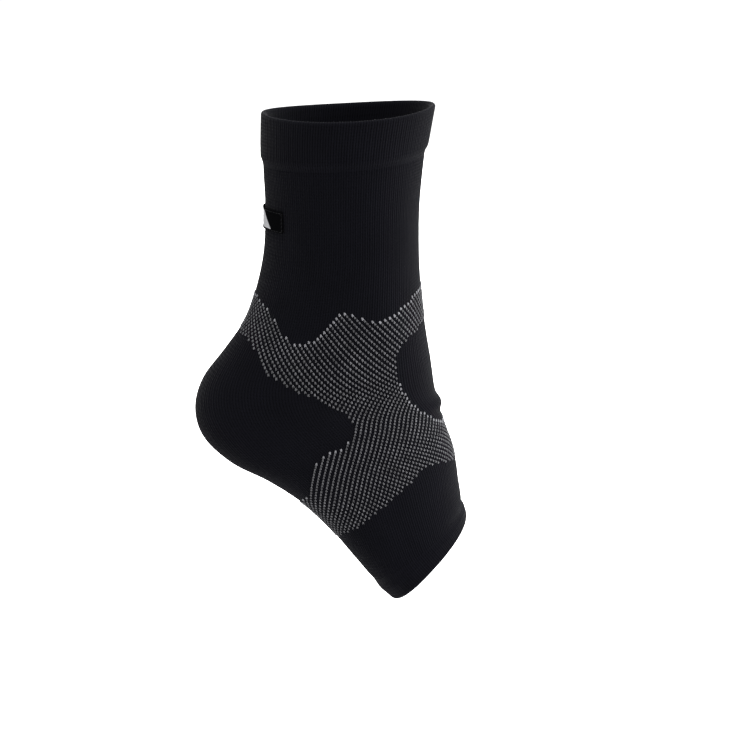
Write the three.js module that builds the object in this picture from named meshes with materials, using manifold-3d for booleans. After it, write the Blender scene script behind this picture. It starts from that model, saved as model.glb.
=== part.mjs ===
// Knitted ankle sleeve with a heel pocket, held in the form in which it is worn.
// Millimetres. +X points to the toe opening, +Z up to the leg opening, -Y to the outer side.
// The origin is in the hollow, in the middle of the sleeve's bend.
import * as THREE from "three";
import { mergeVertices } from "three/addons/utils/BufferGeometryUtils.js";
import Module from "manifold-3d";

const wasm = await Module();
wasm.setup();

// Walls and gaps
const WALL = 1.5;
const GAP = 0.3;

// The welts at both ends: how far they stand out of the wall, and the soft step at their foot
const WELT_STANDS_OUT = 1.3;
const WELT_STEP_EDGE = 0.2;
const WELT_STEP_BEND = { run: 1.7, rise: 0.7 };
const WELT_STEP_RUN = 5;
const BEAD_DEGREES = { from: 60, to: -60, step: 30 };

// The label on the back, LABEL_TOP from the leg rim
const LABEL_WIDTH = 48;
const LABEL_HEIGHT = 11.5;
const LABEL_THICKNESS = 0.6;
const LABEL_TOP = 49.3;

// The fold of slack knit across the front of the bend
const FOLD_LEVEL = -20;
const FOLD_HEIGHT = 2.2;
const FOLD_SPREAD = 2.4;
const FOLD_HALF_SPAN = 22;

// Mesh steps
const SIDES = 32;
const WALL_STEP = 9;
const WELT_STEP = 6;
const FOLD_STEP = 2.5;
const EDGE_STEPS = 28;
const LABEL_STEPS_ROUND = 14;
const LABEL_STEPS_DOWN = 3;
const SECTION_SAMPLES = 180;
const SAMPLES_PER_ROW = 40;
const BLOCK_ACROSS = 120;
const MERGE_WITHIN = 1e-4;

// A table: the first row names the columns, and each later row becomes an object with those names
function table([columns, ...rows]) {
  return rows.map((row) => Object.fromEntries(columns.map((name, i) => [name, row[i]])));
}

// One row for each section of the outer face, from the leg rim to the toe rim.
// The front and back points lie in the middle plane, and halfWidth is across the sleeve.
// egg narrows the back (above 0) or the front (below 0), blunt squares the section (2 is an ellipse),
// and ridge moves the front line towards the inner side.
const SECTIONS = table([
  ["at", "frontX", "frontZ", "backX", "backZ", "halfWidth", "egg", "blunt", "ridge"],
  ["leg rim", 48, 137, -38.3, 133, 38.5, 0.05, 2.1, 0],
  ["cuff middle", 45.9, 125, -38.7, 120.5, 37.2, 0.05, 2.1, 0],
  ["cuff foot", 43.9, 112.4, -38.9, 106.4, 35.5, 0.08, 2.1, 0],
  ["narrow leg", 41.4, 86, -38.1, 84, 33, 0.12, 2.1, 0],
  ["low leg", 41.2, 61, -39.2, 61, 32, 0.16, 2.1, 0],
  ["ankle top", 42.4, 40, -43.5, 41, 32.2, 0.18, 2.15, 0],
  ["ankle", 44.8, 20, -49.4, 24.8, 32.6, 0.16, 2.2, 1],
  ["ankle low", 47.6, 3, -59.8, 9.4, 32.8, 0.1, 2.3, 1],
  ["heel top", 49.4, -10, -72, -7, 32.8, 0.04, 2.4, 2],
  ["heel back", 51.1, -19, -76.2, -22, 32.8, 0, 2.5, 3],
  ["heel corner", 53.4, -27, -72.3, -36.8, 32.8, -0.02, 2.5, 4],
  ["heel under", 56, -35.5, -58.8, -49.9, 33, -0.04, 2.5, 5],
  ["arch rear", 59.2, -44.3, -40.1, -59.6, 33.5, -0.06, 2.4, 6],
  ["arch", 61.5, -54, -21.7, -71.6, 34.5, -0.08, 2.4, 7],
  ["midfoot", 62.9, -64, -6.8, -85.5, 36, -0.1, 2.4, 7],
  ["forefoot", 64.3, -73, 6.7, -101.5, 37.5, -0.1, 2.4, 6],
  ["hem start", 64.4, -77.5, 16.4, -112.8, 38.5, -0.1, 2.4, 6],
  ["toe rim", 66.4, -84.4, 28.3, -123.4, 39.2, -0.1, 2.4, 6],
]);

// At each end the sides lie further in than the front and the back: by how much along the sleeve,
// from which section on this is full, and at which one it has died out
const END_DIPS = table([
  ["end", "by", "fullFrom", "goneAt"],
  ["leg", 2.5, "cuff foot", "low leg"],
  ["toe", -1.2, "hem start", "forefoot"],
]);
const END_DIP_POWER = 1.3;

// Rounded swellings of the wall, one row for each side
const SWELLINGS = table([
  ["side", "x", "y", "z", "height", "width"],
  ["outer", -6, -34, -4, 3.2, 13],
  ["inner", 4, 34, 6, 3.2, 13],
]);

// Knit zones beside the support wrap, as [x, z] in side view.
// edge is where the zone meets the wrap, and beyond closes the outline clear of the sleeve.
const ZONES = [
  {
    name: "leg_tube",
    edge: [
      [-52, 45.6], [-43, 40.5], [-34, 32.2], [-29.5, 25], [-25, 20.3], [-20, 18.3], [-14, 20.3], [-8, 25.3],
      [-3, 31.3], [2, 35.5], [8, 34.4], [17, 31], [23, 31.9], [29, 35.2], [35, 39.8], [41, 43.8], [52, 50],
    ],
    beyond: [[100, 50], [100, 180], [-120, 180], [-120, 45.6]],
  },
  {
    name: "heel_pocket",
    edge: [
      [-62, 25], [-51, 19.5], [-44.5, 15.5], [-41.5, 9], [-38.5, 3.5], [-33, 0], [-25, -4.5], [-15, -8.2],
      [-6, -12], [1, -16.3], [6, -22], [7, -28], [3, -35], [-4, -38.3], [-10, -41.5], [-13.3, -46.5],
      [-14.3, -55], [-17, -63], [-24, -74],
    ],
    beyond: [[-24, -160], [-120, -160], [-120, 25]],
  },
  {
    name: "instep_panel",
    edge: [
      [54, 31], [42, 25.3], [36.5, 20.5], [31.8, 17], [29.6, 13], [29, 6.5], [30, -0.5], [32.6, -7],
      [36.5, -14], [41.5, -19.4], [47.5, -24.5], [54, -29.5], [66, -38],
    ],
    beyond: [[110, -38], [110, 31]],
  },
  {
    name: "forefoot_band",
    edge: [
      [76, -55], [60, -50.8], [50, -49.2], [44, -50.5], [40.3, -53.3], [36.5, -57.2], [30, -61.8], [23, -68],
      [16, -73], [9.5, -79], [3, -83], [-6, -94],
    ],
    beyond: [[-6, -170], [110, -170], [110, -55]],
  },
];

const FINISHES = {
  knit: { color: 0x141416, roughness: 0.85, metalness: 0 },
  welt: { color: 0x17171a, roughness: 0.85, metalness: 0 },
  wrap: { color: 0x2c2c30, roughness: 0.8, metalness: 0 },
  label: { color: 0x0c0c0e, roughness: 0.5, metalness: 0 },
};

// Rails and section values along the sleeve
const smooth = (points) => new THREE.CatmullRomCurve3(points, false, "catmullrom", 0.5);
const frontPoint = (row) => new THREE.Vector3(row.frontX, 0, row.frontZ);
const backPoint = (row) => new THREE.Vector3(row.backX, 0, row.backZ);
const frontRail = smooth(SECTIONS.map(frontPoint));
const backRail = smooth(SECTIONS.map(backPoint));
const middleRail = smooth(SECTIONS.map((row) => frontPoint(row).lerp(backPoint(row), 0.5)));
const shapeRail = smooth(SECTIONS.map((row) => new THREE.Vector3(row.halfWidth, row.egg, row.blunt)));
const ridgeRail = smooth(SECTIONS.map((row) => new THREE.Vector3(0, row.ridge, 0)));
middleRail.arcLengthDivisions = SAMPLES_PER_ROW * (SECTIONS.length - 1);
const railLengths = middleRail.getLengths();
const LENGTH = railLengths.at(-1);

// Distance of a named section from the leg rim, along the middle of the sleeve
function distanceTo(name) {
  return railLengths[SECTIONS.findIndex((row) => row.at === name) * SAMPLES_PER_ROW];
}

// Outline of one section, with its running length, so that points can be spread evenly round it
const sectionCache = new Map();
function section(distance) {
  const key = distance.toFixed(4);
  if (sectionCache.has(key)) return sectionCache.get(key);
  const t = middleRail.getUtoTmapping(0, THREE.MathUtils.clamp(distance, 0, LENGTH));
  const front = frontRail.getPoint(t);
  const back = backRail.getPoint(t);
  const middle = front.clone().lerp(back, 0.5);
  const halfDepth = front.clone().sub(middle);
  const { x: halfWidth, y: egg, z: blunt } = shapeRail.getPoint(t);
  const ridge = ridgeRail.getPoint(t).y;
  const squared = (value) => Math.sign(value) * Math.abs(value) ** (2 / blunt);
  const points = [];
  const reach = [0];
  for (let i = 0; i <= SECTION_SAMPLES; i += 1) {
    const angle = (i / SECTION_SAMPLES) * 2 * Math.PI;
    const ahead = squared(Math.cos(angle));
    const point = middle.clone().addScaledVector(halfDepth, ahead);
    point.y = (ridge * (1 + ahead)) / 2 - squared(Math.sin(angle)) * halfWidth * (1 + egg * ahead);
    points.push(point);
    if (i > 0) reach.push(reach[i - 1] + point.distanceTo(points[i - 1]));
  }
  const outline = { points, reach, girth: reach[SECTION_SAMPLES] };
  sectionCache.set(key, outline);
  return outline;
}

// Point of the plain form at a distance from the leg rim and a share of the way round:
// 0 is the front, 0.25 the outer side, 0.5 the back, 0.75 the inner side.
function formPoint(distance, share) {
  const { points, reach, girth } = section(distance);
  const wanted = THREE.MathUtils.euclideanModulo(share, 1) * girth;
  let i = 1;
  while (i < SECTION_SAMPLES && reach[i] < wanted) i += 1;
  return points[i - 1].clone().lerp(points[i], (wanted - reach[i - 1]) / (reach[i] - reach[i - 1]));
}

// How much further from the leg rim a place lies because the ends dip at the sides
function endDip(distance, share) {
  const sideways = Math.abs(Math.sin(2 * Math.PI * share)) ** END_DIP_POWER;
  let dip = 0;
  for (const { by, fullFrom, goneAt } of END_DIPS) {
    const gone = distanceTo(goneAt);
    const part = (distance - gone) / (distanceTo(fullFrom) - gone);
    dip += by * sideways * THREE.MathUtils.clamp(part, 0, 1);
  }
  return dip;
}

// How far the swellings and the fold push the outer face out at a point of the plain form
function pushedOut(point) {
  let push = 0;
  for (const { x, y, z, height, width } of SWELLINGS) {
    const away = point.distanceTo(new THREE.Vector3(x, y, z)) / width;
    push += height * Math.exp((-away * away) / 2);
  }
  if (point.x > 0 && Math.abs(point.y) < FOLD_HALF_SPAN) {
    const away = (point.z - FOLD_LEVEL) / FOLD_SPREAD;
    const fade = Math.cos((Math.PI * point.y) / (2 * FOLD_HALF_SPAN)) ** 2;
    push += FOLD_HEIGHT * fade * Math.exp((-away * away) / 2);
  }
  return push;
}

// Point at an offset out of the outer face
function skinPoint(level, share, offset) {
  const alongStep = 0.5;
  const shareStep = 0.004;
  const distance = level + endDip(level, share);
  const point = formPoint(distance, share);
  const along = formPoint(distance + alongStep, share).sub(formPoint(distance - alongStep, share));
  const round = formPoint(distance, share + shareStep).sub(formPoint(distance, share - shareStep));
  const outward = round.cross(along).normalize();
  return point.addScaledVector(outward, offset + pushedOut(point));
}

function geometryFrom(positions, index) {
  const geometry = new THREE.BufferGeometry();
  geometry.setAttribute("position", new THREE.Float32BufferAttribute(positions, 3));
  geometry.setIndex(index);
  return geometry;
}

// A closed profile of [distance, offset] pairs, carried round the sleeve between two shares of the way.
// A whole turn closes on itself, and a shorter sweep is capped at both ends.
function sweep(profile, from = 0, to = 1, steps = SIDES) {
  const whole = to - from === 1;
  const columns = whole ? steps : steps + 1;
  const positions = [];
  const index = [];
  for (const [distance, offset] of profile) {
    for (let j = 0; j < columns; j += 1) {
      positions.push(...skinPoint(distance, from + ((to - from) * j) / steps, offset));
    }
  }
  profile.forEach((_, k) => {
    const row = k * columns;
    const below = ((k + 1) % profile.length) * columns;
    for (let j = 0; j < steps; j += 1) {
      const next = (j + 1) % columns;
      index.push(row + j, row + next, below + next, row + j, below + next, below + j);
    }
  });
  if (!whole) {
    const flat = profile.map(([distance, offset]) => new THREE.Vector2(distance, offset));
    for (const [a, b, c] of THREE.ShapeUtils.triangulateShape(flat, [])) {
      index.push(c * columns, b * columns, a * columns);
      index.push(a * columns + steps, b * columns + steps, c * columns + steps);
    }
  }
  return geometryFrom(positions, index);
}

// Evenly spread values from one to another, both included
function spread(from, to, step) {
  const count = Math.max(1, Math.round(Math.abs(to - from) / step));
  return Array.from({ length: count + 1 }, (_, i) => from + ((to - from) * i) / count);
}

// A welt is the end of the tube turned in on itself: round at the rim, with a soft step at its foot.
// towards is +1 where the rim lies further along the sleeve than the foot, and -1 where it lies before it.
function weltProfile(rim, foot, towards) {
  const radius = (WALL + WELT_STANDS_OUT) / 2;
  const middleOffset = (WELT_STANDS_OUT - WALL) / 2;
  const stepTop = foot + towards * WELT_STEP_RUN;
  const stepUp = [
    [foot, WELT_STEP_EDGE],
    [foot + towards * WELT_STEP_BEND.run, WELT_STEP_BEND.rise],
    [stepTop, WELT_STANDS_OUT],
  ];
  const flat = spread(stepTop, rim - towards * radius, WELT_STEP).slice(1);
  const outer = [...stepUp, ...flat.map((distance) => [distance, WELT_STANDS_OUT])];
  const bead = spread(BEAD_DEGREES.from, BEAD_DEGREES.to, BEAD_DEGREES.step).map((degrees) => {
    const angle = THREE.MathUtils.degToRad(degrees);
    return [rim - towards * radius * (1 - Math.cos(angle)), middleOffset + radius * Math.sin(angle)];
  });
  const inner = [...flat.toReversed(), foot].map((distance) => [distance, -WALL]);
  const loop = [...outer, ...bead, ...inner];
  return towards > 0 ? loop : loop.toReversed();
}

// Closed solids for joins and cuts
function solidFrom(geometry) {
  const bare = geometry.clone();
  bare.deleteAttribute("normal");
  bare.deleteAttribute("uv");
  const merged = mergeVertices(bare, MERGE_WITHIN);
  return new wasm.Manifold(new wasm.Mesh({
    numProp: 3,
    vertProperties: new Float32Array(merged.attributes.position.array),
    triVerts: new Uint32Array(merged.index.array),
  }));
}

function geometryOf(solid) {
  const mesh = solid.getMesh();
  return geometryFrom(Array.from(mesh.vertProperties), Array.from(mesh.triVerts));
}

// Block that cuts a zone out of the wall, right across the sleeve; growth widens it along its edge
function zoneBlock({ edge, beyond }, growth) {
  const samples = new THREE.SplineCurve(edge.map(([x, z]) => new THREE.Vector2(x, z))).getPoints(EDGE_STEPS);
  const corners = beyond.map(([x, z]) => new THREE.Vector2(x, z));
  const turn = Math.sign(THREE.ShapeUtils.area([...samples, ...corners]));
  const grown = samples.map((point, i) => {
    const before = samples[Math.max(0, i - 1)];
    const after = samples[Math.min(EDGE_STEPS, i + 1)];
    const run = after.clone().sub(before).normalize();
    return new THREE.Vector2(run.y, -run.x).multiplyScalar(turn * growth).add(point);
  });
  const outline = new THREE.Shape([...grown, ...corners]);
  const block = new THREE.ExtrudeGeometry(outline, { depth: BLOCK_ACROSS, bevelEnabled: false });
  block.rotateX(Math.PI / 2);
  block.translate(0, BLOCK_ACROSS / 2, 0);
  return solidFrom(block);
}

// The single wall, with closer sections across the fold
function wallSolid() {
  const top = distanceTo("cuff foot") + GAP;
  const bottom = distanceTo("hem start") - GAP;
  const foldFrom = distanceTo("heel top");
  const foldTo = distanceTo("heel corner");
  const distances = [
    ...spread(top, foldFrom, WALL_STEP),
    ...spread(foldFrom, foldTo, FOLD_STEP).slice(1),
    ...spread(foldTo, bottom, WALL_STEP).slice(1),
  ];
  const outer = distances.map((distance) => [distance, 0]);
  const inner = distances.map((distance) => [distance, -WALL]).toReversed();
  return solidFrom(sweep([...outer, ...inner]));
}

const sleeve = new THREE.Group();

function addPiece(name, geometry, finish) {
  geometry.computeVertexNormals();
  const piece = new THREE.Mesh(geometry, new THREE.MeshStandardMaterial(finish));
  piece.name = name;
  sleeve.add(piece);
}

function addWelts() {
  addPiece("top_cuff", sweep(weltProfile(0, distanceTo("cuff foot"), -1)), FINISHES.welt);
  addPiece("toe_hem", sweep(weltProfile(LENGTH, distanceTo("hem start"), 1)), FINISHES.welt);
}

function addZones() {
  const wall = wallSolid();
  let wrap = wall;
  for (const zone of ZONES) {
    addPiece(zone.name, geometryOf(wall.intersect(zoneBlock(zone, 0))), FINISHES.knit);
    wrap = wrap.subtract(zoneBlock(zone, GAP));
  }
  addPiece("support_wrap", geometryOf(wrap), FINISHES.wrap);
}

function addLabel() {
  const halfShare = LABEL_WIDTH / 2 / section(LABEL_TOP).girth;
  const distances = spread(LABEL_TOP, LABEL_TOP + LABEL_HEIGHT, LABEL_HEIGHT / LABEL_STEPS_DOWN);
  const outer = distances.map((distance) => [distance, GAP + LABEL_THICKNESS]);
  const inner = distances.map((distance) => [distance, GAP]).toReversed();
  const label = sweep([...outer, ...inner], 0.5 - halfShare, 0.5 + halfShare, LABEL_STEPS_ROUND);
  addPiece("back_label", label, FINISHES.label);
}

addWelts();
addZones();
addLabel();

export default sleeve;
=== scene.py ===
"""A knitted ankle sleeve: a tube of fine black stitches with a heel pocket, a wrap of staggered grey
stitches, a turned welt at each end and a small woven label on the back."""

import math

import bpy
import numpy as np
from bpy.props import FloatProperty, FloatVectorProperty, IntProperty, PointerProperty
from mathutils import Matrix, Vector
from mathutils.bvhtree import BVHTree


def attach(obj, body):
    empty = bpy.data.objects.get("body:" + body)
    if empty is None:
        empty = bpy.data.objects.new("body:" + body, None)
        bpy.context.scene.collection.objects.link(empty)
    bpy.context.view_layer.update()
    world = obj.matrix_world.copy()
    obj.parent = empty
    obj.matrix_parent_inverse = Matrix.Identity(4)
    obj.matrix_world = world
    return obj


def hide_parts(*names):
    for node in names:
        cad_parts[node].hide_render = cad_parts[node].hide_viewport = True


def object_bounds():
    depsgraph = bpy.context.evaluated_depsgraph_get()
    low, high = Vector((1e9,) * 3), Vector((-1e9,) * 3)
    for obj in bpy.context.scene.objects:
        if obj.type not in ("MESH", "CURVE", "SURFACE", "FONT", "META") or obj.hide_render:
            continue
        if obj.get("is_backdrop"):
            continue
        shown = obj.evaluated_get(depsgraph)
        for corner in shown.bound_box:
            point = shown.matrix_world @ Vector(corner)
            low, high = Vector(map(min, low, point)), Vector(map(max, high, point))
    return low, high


bl_info = {
    "name": "Knitted ankle sleeve",
    "version": (1, 0, 0),
    "blender": (4, 5, 0),
    "location": "View3D > Sidebar > Sleeve",
    "description": "Knits an ankle sleeve around its solids, stitch by stitch",
    "category": "Add Mesh",
}

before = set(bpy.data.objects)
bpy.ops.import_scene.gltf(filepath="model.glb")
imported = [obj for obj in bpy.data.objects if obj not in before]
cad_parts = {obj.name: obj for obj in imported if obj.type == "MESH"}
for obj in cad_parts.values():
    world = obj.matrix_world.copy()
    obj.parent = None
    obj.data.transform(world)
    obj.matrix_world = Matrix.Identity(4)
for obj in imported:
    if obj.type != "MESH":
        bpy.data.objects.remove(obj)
CAD_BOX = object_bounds()

BODY = "root"
MM = 0.001
TURN = 2 * math.pi

# Sections of the outer face from the leg rim to the toe rim, in millimetres.
# The front and back points lie in the middle plane, and half_width is across the sleeve.
# egg narrows the back (above 0) or the front (below 0), blunt squares the section, ridge moves the
# front line to the inner side, and twist turns the knit round the sleeve, as a share of the girth.
SECTION_COLUMNS = (
    "at", "front_x", "front_z", "back_x", "back_z", "half_width", "egg", "blunt", "ridge", "twist",
)
SECTIONS = (
    ("leg rim", 48, 137, -38.3, 133, 38.5, 0.05, 2.1, 0, 0),
    ("cuff middle", 45.9, 125, -38.7, 120.5, 37.2, 0.05, 2.1, 0, 0),
    ("cuff foot", 43.9, 112.4, -38.9, 106.4, 35.5, 0.08, 2.1, 0, 0),
    ("narrow leg", 41.4, 86, -38.1, 84, 33, 0.12, 2.1, 0, 0),
    ("low leg", 41.2, 61, -39.2, 61, 32, 0.16, 2.1, 0, 0),
    ("ankle top", 42.4, 40, -43.5, 41, 32.2, 0.18, 2.15, 0, 0.002),
    ("ankle", 44.8, 20, -49.4, 24.8, 32.6, 0.16, 2.2, 1, 0.003),
    ("ankle low", 47.6, 3, -59.8, 9.4, 32.8, 0.1, 2.3, 1, -0.005),
    ("heel top", 49.4, -10, -72, -7, 32.8, 0.04, 2.4, 2, -0.021),
    ("heel back", 51.1, -19, -76.2, -22, 32.8, 0, 2.5, 3, -0.039),
    ("heel corner", 53.4, -27, -72.3, -36.8, 32.8, -0.02, 2.5, 4, -0.057),
    ("heel under", 56, -35.5, -58.8, -49.9, 33, -0.04, 2.5, 5, -0.062),
    ("arch rear", 59.2, -44.3, -40.1, -59.6, 33.5, -0.06, 2.4, 6, -0.052),
    ("arch", 61.5, -54, -21.7, -71.6, 34.5, -0.08, 2.4, 7, -0.039),
    ("midfoot", 62.9, -64, -6.8, -85.5, 36, -0.1, 2.4, 7, -0.024),
    ("forefoot", 64.3, -73, 6.7, -101.5, 37.5, -0.1, 2.4, 6, -0.012),
    ("hem start", 64.4, -77.5, 16.4, -112.8, 38.5, -0.1, 2.4, 6, -0.006),
    ("toe rim", 66.4, -84.4, 28.3, -123.4, 39.2, -0.1, 2.4, 6, -0.006),
)
SAMPLES_PER_SECTION = 40
SAMPLES_ROUND = 720

# At each end the sides lie further in than the front and the back: by how many millimetres along the
# sleeve, from which section on this is full, and at which one it has died out
END_DIPS = (
    ("leg", 2.5, "cuff foot", "low leg"),
    ("toe", -1.2, "hem start", "forefoot"),
)
END_DIP_POWER = 1.3

# Rounded swellings of the wall, in millimetres
SWELLING_COLUMNS = ("side", "x", "y", "z", "height", "width")
SWELLINGS = (
    ("outer", -6, -34, -4, 3.2, 13),
    ("inner", 4, 34, 6, 3.2, 13),
)

# The fold of slack knit across the front of the bend, in millimetres
FOLD_LEVEL = -20
FOLD_HEIGHT = 2.2
FOLD_SPREAD = 2.4
FOLD_HALF_SPAN = 22

# The courses rise to the front and, less, to the back, in millimetres; towards the ends they level out
BOW_ONCE = 9.4
BOW_TWICE = 3.5
BOW_FULL_FROM = 0.30
BOW_FULL_TO = 0.80

# Where the sleeve bends, the courses crowd together at the front, in millimetres
CROWD = 6.5
CROWD_AT = 180
CROWD_SPREAD = 18

# Parts of a stitch's relief: the split between its two legs, and the tuck at its foot
SPLIT_DEPTH = 0.25
TUCK_DEPTH = 0.3

# The mesh of a welt: faces round it for each column of stitches, rows of faces for each course of its
# outer face, and rows on the soft step at its foot and round its rim
WELT_FACES = 4
WELT_ROWS = 2
STEP_ROWS = 5
RIM_ROWS = 7

# Depth of the stitches on parts of a welt, against those of its outer face
FOOT_DEPTH = 0.3
RIM_DEPTH = 0.8
INSIDE_DEPTH = 0.6

# Faces of the label round the sleeve and down it
PATCH_FACES = (96, 26)

# Material slots that tell the faces of a thickened wall apart while it is shaped
OUTER_FACE, INNER_FACE, RIM_FACE = range(3)

# Points closer than this are merged, in metres
MERGE_WITHIN = 1e-6

# Seed of the tones of the grey stitches
TONE_SEED = 7

# The look of stitches: the slant of their legs, how far a leg's height swings along a stitch, the tone of a
# groove's painted shade, how much paler a leg is painted to stand for light on its ridge, and the height of
# the fibres against that of a leg
LEG_SLANT = 0.9
LEG_SWING = 0.18
PAINTED_GROOVE_SHADE = 0.8
PAINTED_LEG_LIGHT = 0.3
FIBRE_HEIGHT = 0.5

# Soft lamps, each with its name, place, side and watts
LAMPS = (
    ("top_light", (0.1, -0.2, 1.6), 1.2, 70),
    ("front_light", (1.6, 0.0, 0.5), 1.2, 76),
    ("inner_light", (-0.2, 1.7, 0.5), 1.2, 25),
)

ZONES = ("leg_tube", "support_wrap", "heel_pocket", "instep_panel", "forefoot_band")


# Settings

class KnitSettings(bpy.types.PropertyGroup):
    """Stitches of the wall"""
    wales: IntProperty(name="Wales", description="Columns of stitches round the sleeve", default=190)
    courses: IntProperty(name="Courses", description="Rows of stitches from cuff to hem", default=136)
    wall: FloatProperty(name="Wall", description="Thickness of the knit", default=0.0015, unit="LENGTH")
    relief: FloatProperty(
        name="Relief", description="Depth of the groove between two columns of stitches",
        default=0.0003, unit="LENGTH")
    splay: FloatProperty(
        name="Splay", description="How far the legs of a stitch spread, as a share of its width",
        default=0.08, subtype="FACTOR")
    rib: FloatProperty(
        name="Rib", description="How far every other column stands out of the wall",
        default=0.00003, unit="LENGTH")
    slack_wale: FloatProperty(
        name="Slack Wale", description="Width of a stitch when the sleeve isn't worn",
        default=0.00112, unit="LENGTH")
    slack_course: FloatProperty(
        name="Slack Course", description="Height of a stitch when the sleeve isn't worn",
        default=0.0016, unit="LENGTH")
    heel_fullness: FloatProperty(
        name="Heel Fullness", description="How much fuller the heel pocket is knitted than the rest",
        default=1.3)


class WeltSettings(bpy.types.PropertyGroup):
    """Turned welts at the two ends"""
    stands_out: FloatProperty(
        name="Stands Out", description="How far a welt stands out of the wall",
        default=0.0013, unit="LENGTH")
    step_run: FloatProperty(
        name="Step", description="Length of the soft step at the foot of a welt",
        default=0.005, unit="LENGTH")
    rib: FloatProperty(
        name="Rib", description="How far every other column stands out of a welt",
        default=0.00004, unit="LENGTH")


class StitchSettings(bpy.types.PropertyGroup):
    """Grey stitches of the support wrap"""
    length: FloatProperty(
        name="Length", description="Length of a stitch along its column", default=0.0015, unit="LENGTH")
    width: FloatProperty(
        name="Width", description="Width of one leg of a stitch", default=0.00051, unit="LENGTH")
    apart: FloatProperty(
        name="Apart", description="Distance between the two legs", default=0.00042, unit="LENGTH")
    lean: FloatProperty(
        name="Lean", description="Slant of a leg", default=math.radians(10), subtype="ANGLE")
    first: FloatProperty(
        name="First", description="Size of the first grey stitch of a line, against the others",
        default=1.15)
    first_tone: FloatProperty(
        name="First Tone", description="How much paler the first grey stitch of a line is", default=1.9)
    uneven: FloatProperty(
        name="Uneven", description="How much darker than the palest of them the other grey stitches may be",
        default=0.4, subtype="FACTOR")
    drawn: FloatProperty(
        name="Drawn", description="How far a stitch is drawn towards its nearer neighbours, in columns",
        default=0.8)
    drawn_at: FloatProperty(
        name="Drawn At", description="Difference of the two distances at which it is drawn fully",
        default=0.2, subtype="FACTOR")
    raised: FloatProperty(
        name="Raised", description="How far a stitch lies above the knit, against its relief", default=0.5)


class LabelSettings(bpy.types.PropertyGroup):
    """Woven label on the back"""
    width: FloatProperty(name="Width", description="Width round the sleeve", default=0.048, unit="LENGTH")
    height: FloatProperty(name="Height", description="Height", default=0.0115, unit="LENGTH")
    thickness: FloatProperty(name="Thickness", description="Thickness", default=0.0006, unit="LENGTH")
    top: FloatProperty(
        name="Top", description="Distance of its top from the leg rim", default=0.0493, unit="LENGTH")
    stand_off: FloatProperty(
        name="Stand Off", description="Gap to the knit", default=0.0003, unit="LENGTH")
    hem_width: FloatProperty(
        name="Hem Width", description="Width of the turned edge", default=0.0009, unit="LENGTH")
    hem_rise: FloatProperty(
        name="Hem Rise", description="How far the turned edge stands out", default=0.00014, unit="LENGTH")
    bar_width: FloatProperty(
        name="Bar Width", description="Width of the plain pale bar", default=0.011, unit="LENGTH")
    bar_slant: FloatProperty(
        name="Bar Slant", description="How far the bar leans to the outer side over its height",
        default=0.0075, unit="LENGTH")
    bar_shift: FloatProperty(
        name="Bar Shift", description="How far the bar's top lies to the outer side of the middle",
        default=0.0018, unit="LENGTH")
    bar_margin: FloatProperty(
        name="Bar Margin", description="Ground above and below the bar", default=0.0012, unit="LENGTH")
    bar_rise: FloatProperty(
        name="Bar Rise", description="How far the bar stands out of the ground",
        default=0.0001, unit="LENGTH")
    bar_thickness: FloatProperty(
        name="Bar Thickness", description="Thickness of the bar", default=0.0002, unit="LENGTH")
    seam_inset: FloatProperty(
        name="Seam Inset", description="Distance of the sewn line from the label's edge",
        default=0.0006, unit="LENGTH")
    seam_pitch: FloatProperty(
        name="Seam Pitch", description="Distance from one stitch of the sewn line to the next",
        default=0.0021, unit="LENGTH")
    seam_share: FloatProperty(
        name="Seam Share", description="Length of a stitch of the sewn line, as a share of its pitch",
        default=0.75, subtype="FACTOR")
    thread: FloatProperty(
        name="Thread", description="Thickness of the sewing thread", default=0.0003, unit="LENGTH")


class ColourSettings(bpy.types.PropertyGroup):
    """Colours of the yarns"""
    black: FloatVectorProperty(
        name="Black", description="Black yarn", default=(0.0017, 0.0017, 0.0026), subtype="COLOR")
    grey: FloatVectorProperty(
        name="Grey", description="Grey yarn of the wrap", default=(0.054, 0.054, 0.058), subtype="COLOR")
    satin: FloatVectorProperty(
        name="Satin", description="Ground of the label", default=(0.0012, 0.0012, 0.0014), subtype="COLOR")
    bar: FloatVectorProperty(
        name="Bar", description="Bar of the label", default=(0.23, 0.23, 0.237), subtype="COLOR")
    seam: FloatVectorProperty(
        name="Seam", description="Sewing thread of the label",
        default=(0.004, 0.004, 0.0045), subtype="COLOR")
    floor: FloatVectorProperty(
        name="Floor", description="Studio floor", default=(0.92, 0.92, 0.92), subtype="COLOR")


class StageSettings(bpy.types.PropertyGroup):
    """Floor, light and camera"""
    floor_level: FloatProperty(
        name="Floor", description="Level of the floor", default=-0.155, unit="LENGTH")
    floor_size: FloatProperty(name="Floor Size", description="Side of the floor", default=60, unit="LENGTH")
    sky: FloatProperty(name="Sky", description="Strength of the light from all around", default=1.1)
    elevation: FloatProperty(
        name="Elevation", description="Angle of the camera above the horizon",
        default=math.radians(14.5), subtype="ANGLE")
    distance: FloatProperty(
        name="Distance", description="Distance of the camera from its target", default=1.095, unit="LENGTH")
    lens: FloatProperty(name="Lens", description="Focal length in millimetres", default=100)
    target: FloatVectorProperty(
        name="Target", description="Point that the camera looks at",
        default=(0.01888, 0, -0.00596), subtype="XYZ", unit="LENGTH")


# The form of the sleeve

def column(columns, rows, *names):
    """The named columns of a table as an array, one row for each of its rows"""
    return np.array([[row[columns.index(name)] for name in names] for row in rows], float)


def curve_through(values, steps):
    """A smooth curve through the rows of values, at steps counted in rows"""
    ends = np.vstack([2 * values[0] - values[1], values, 2 * values[-1] - values[-2]])
    first = np.clip(np.floor(steps).astype(int), 0, len(values) - 2)
    on = (steps - first)[:, None]
    before, start, stop, after = (ends[first + k] for k in range(4))
    leave, arrive = (stop - before) / 2, (after - start) / 2
    cubic = 2 * start - 2 * stop + leave + arrive
    square = 3 * stop - 3 * start - 2 * leave - arrive
    return cubic * on**3 + square * on**2 + leave * on + start


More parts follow.
